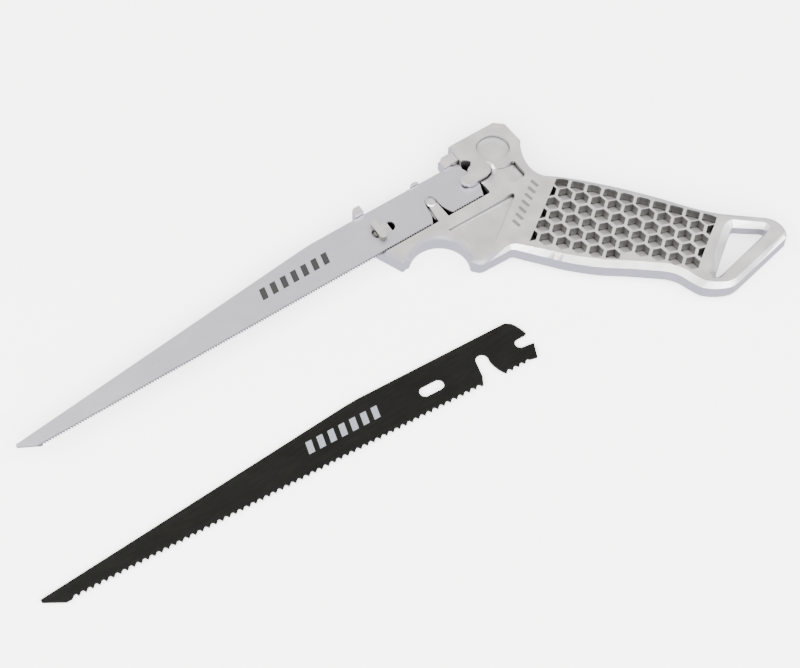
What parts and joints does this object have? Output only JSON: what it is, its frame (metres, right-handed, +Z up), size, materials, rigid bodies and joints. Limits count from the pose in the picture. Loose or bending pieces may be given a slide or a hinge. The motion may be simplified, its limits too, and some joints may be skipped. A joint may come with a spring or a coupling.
{
  "type": "drywall saw",
  "caption": "Drywall jab saw with die-cast honeycomb handle, quarter-turn blade lock, fitted fine blade and a loose coarse blade.",
  "frame": {"origin": "on the underside, below the axis of the pivot post at the blade's tail", "axes": "+X from the blade tip to the hang loop along the fitted blade, +Y towards its spine, +Z up from the surface the saw lies on"},
  "size_m": [0.2904, 0.1044, 0.0089],
  "materials": {
    "cast_aluminium": "satin",
    "blade_steel": "satin",
    "black_steel": "satin",
    "pin_steel": "satin",
    "key_steel": "satin",
    "spring_steel": "satin"
  },
  "bodies": {
    "saw": {"handle_casting": "cast_aluminium", "fine_blade": "blade_steel", "locating_pin": "pin_steel", "pivot_post": "pin_steel", "key_stop_pin": "pin_steel"},
    "lock_key": {"lock_key": "key_steel", "key_spring_washers": "spring_steel", "key_stop_washer": "pin_steel", "key_retaining_ring": "spring_steel"},
    "spare_blade": {"coarse_blade": "black_steel"}
  },
  "joints": [
    {"name": "lock_key_turn", "type": "hinge", "parent": "saw", "child": "lock_key", "pos_m": [-0.0378, 0.0002, 0.006], "axis": [0, 0, 1], "range_deg": [0, 90]},
    {"name": "spare_blade_lift", "type": "slide", "parent": "saw", "child": "spare_blade", "axis": [0, 0, 1], "range_m": [0, 0.05]}
  ]
}
